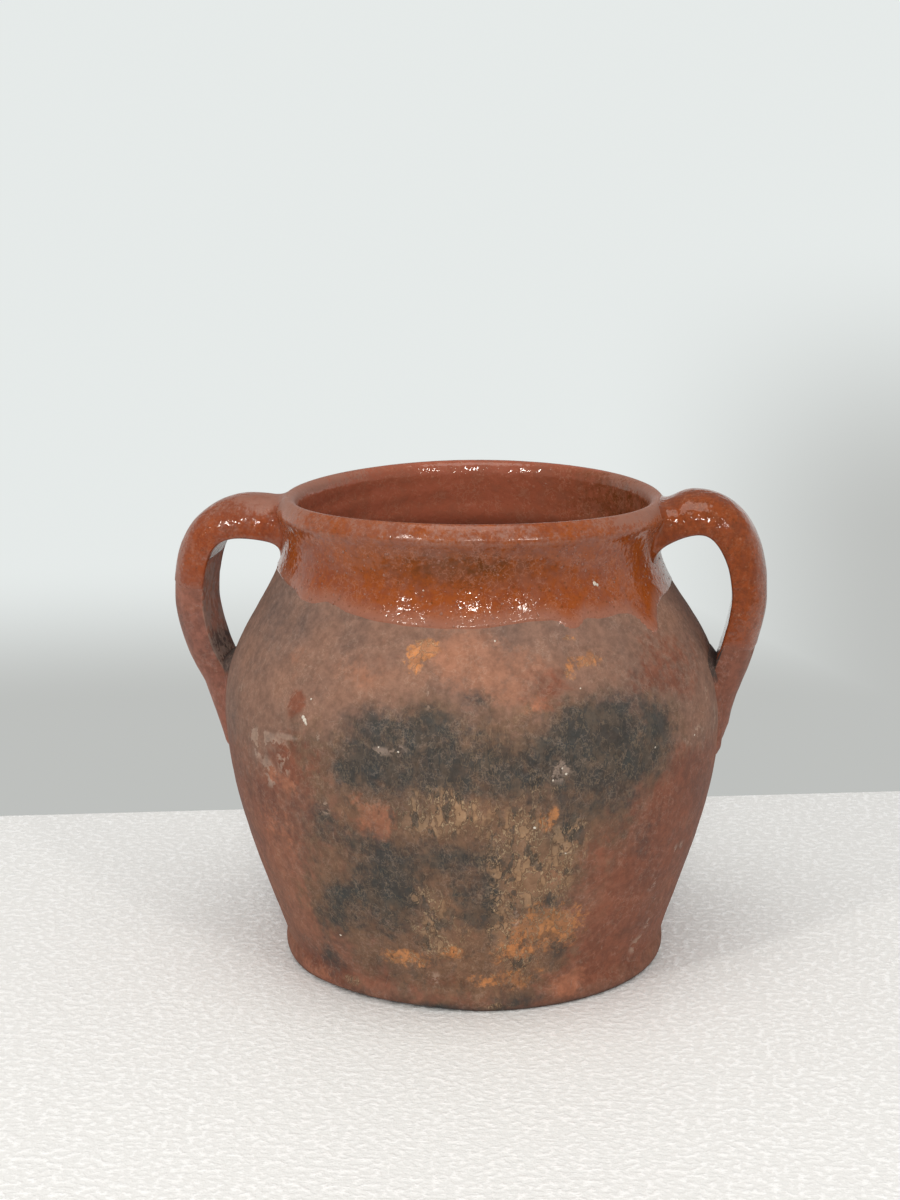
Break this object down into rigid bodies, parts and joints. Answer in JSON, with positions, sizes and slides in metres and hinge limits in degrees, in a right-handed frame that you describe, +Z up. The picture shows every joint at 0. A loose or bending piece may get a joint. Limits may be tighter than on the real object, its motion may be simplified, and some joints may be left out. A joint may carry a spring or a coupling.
{
  "type": "two-handled clay pot",
  "caption": "Wheel-thrown clay pot with a wide mouth, a rolled lip, a full belly and strap handles from neck to belly, glazed inside and over the neck.",
  "frame": {"origin": "centre of the flat underside, on the axis of the pot", "axes": "+Z up along the axis of the pot, X from handle to handle, +X towards the handle on the right in the picture, -Y towards the viewer"},
  "size_m": [0.2786, 0.232, 0.2229],
  "materials": {
    "pot_clay": "matt fired clay, sooted and scuffed",
    "handle_clay": "matt fired clay, rubbed smooth",
    "slip_clay": "matt fired slip",
    "neck_glaze": "glossy honey-brown glaze",
    "handle_glaze": "glossy honey-orange glaze"
  },
  "bodies": {
    "root": {"pot_body": "pot_clay", "handle_left": "handle_clay", "handle_right": "handle_clay", "slip_joint_upper_left": "slip_clay", "slip_joint_lower_left": "slip_clay", "slip_joint_upper_right": "slip_clay", "slip_joint_lower_right": "slip_clay", "glaze_coat": "neck_glaze", "handle_glaze_left": "handle_glaze", "handle_glaze_right": "handle_glaze"}
  },
  "joints": []
}
